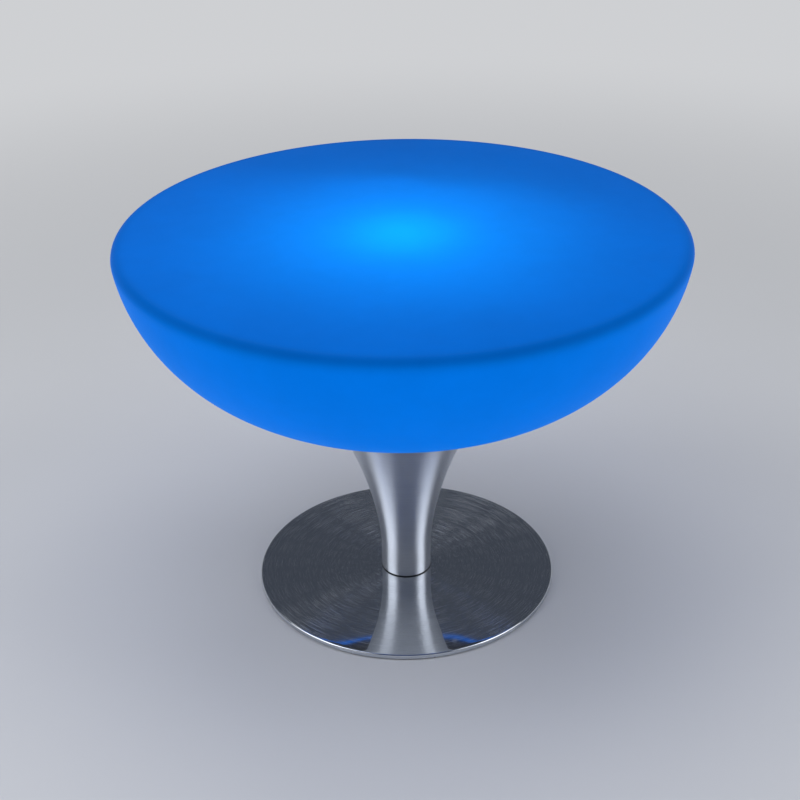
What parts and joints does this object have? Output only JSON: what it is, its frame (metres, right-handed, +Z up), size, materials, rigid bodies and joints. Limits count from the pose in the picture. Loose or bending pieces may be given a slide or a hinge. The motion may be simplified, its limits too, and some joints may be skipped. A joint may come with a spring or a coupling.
{
  "type": "light up table",
  "caption": "Round light-up table: a glowing moulded bowl with a flat top on a brushed trumpet column and a round base plate.",
  "frame": {"origin": "middle of the footprint, on the floor", "axes": "+Z up; the picture looks along +Y from the front, with +X to its right"},
  "size_m": [0.84, 0.84, 0.6],
  "materials": {
    "bowl_plastic": "translucent polyethylene lit blue from inside, satin",
    "stainless": "brushed round the axis, near mirror",
    "black_coat": "fine textured powder coat",
    "zinc_steel": "zinc plated",
    "black_iron": "dark primer",
    "rubber": "matte",
    "foam": "closed cell foam",
    "brass": "turned",
    "aluminium": "spun, satin",
    "white_board": "white solder mask",
    "green_board": "green solder mask",
    "led_lens": "clear resin over phosphor",
    "frosted": "frosted diffuser",
    "blue_wrap": "shrunk film",
    "case_plastic": "fine spark texture",
    "socket_plastic": "black moulded, fine texture",
    "lead_sleeve": "matte sleeve"
  },
  "bodies": {
    "table": {"bowl": "bowl_plastic", "bowl_gasket": "foam", "bowl_insert_1": "brass", "bowl_insert_2": "brass", "bowl_insert_3": "brass", "bowl_insert_4": "brass", "bowl_insert_5": "brass", "bowl_insert_6": "brass", "bowl_screw_1": "zinc_steel", "bowl_screw_2": "zinc_steel", "bowl_screw_3": "zinc_steel", "bowl_screw_4": "zinc_steel", "bowl_screw_5": "zinc_steel", "bowl_screw_6": "zinc_steel", "underside_plate": "black_coat", "column": "stainless", "mounting_flange": "zinc_steel", "flange_bolt_1": "zinc_steel", "flange_bolt_2": "zinc_steel", "flange_bolt_3": "zinc_steel", "flange_bolt_4": "zinc_steel", "flange_nut": "zinc_steel", "tie_rod": "zinc_steel", "column_spigot": "zinc_steel", "foot_gasket": "rubber", "base_cover": "stainless", "base_weight": "black_iron", "base_screw_1": "zinc_steel", "base_screw_2": "zinc_steel", "base_screw_3": "zinc_steel", "floor_ring": "rubber", "lamp_tray": "aluminium", "lamp_board": "white_board", "led_1": "led_lens", "led_2": "led_lens", "led_3": "led_lens", "led_4": "led_lens", "lamp_diffuser": "frosted", "tray_screw_1": "zinc_steel", "tray_screw_2": "zinc_steel", "tray_screw_3": "zinc_steel", "lamp_lead": "lead_sleeve", "battery_pack": "blue_wrap", "battery_strap": "aluminium", "strap_screw_1": "zinc_steel", "strap_screw_2": "zinc_steel", "battery_lead": "lead_sleeve", "control_case": "case_plastic", "case_screw_1": "zinc_steel", "case_screw_2": "zinc_steel", "control_board": "green_board", "button_housing": "stainless", "button_nut": "zinc_steel", "button_switch": "black_coat", "charge_socket": "socket_plastic", "socket_nut": "zinc_steel", "flap_hinge_pin": "stainless"},
    "button": {"power_button": "stainless"},
    "flap": {"socket_flap": "rubber"}
  },
  "joints": [
    {"name": "button_press", "type": "slide", "parent": "table", "child": "button", "axis": [0, 0, 1], "range_m": [0, 0.002], "stiffness_N_per_m": 500, "springref_m": -0.002},
    {"name": "flap_hinge", "type": "hinge", "parent": "table", "child": "flap", "pos_m": [0.22741, 0.02, 0.3858], "axis": [0, -1, 0], "range_deg": [0, 110]}
  ]
}
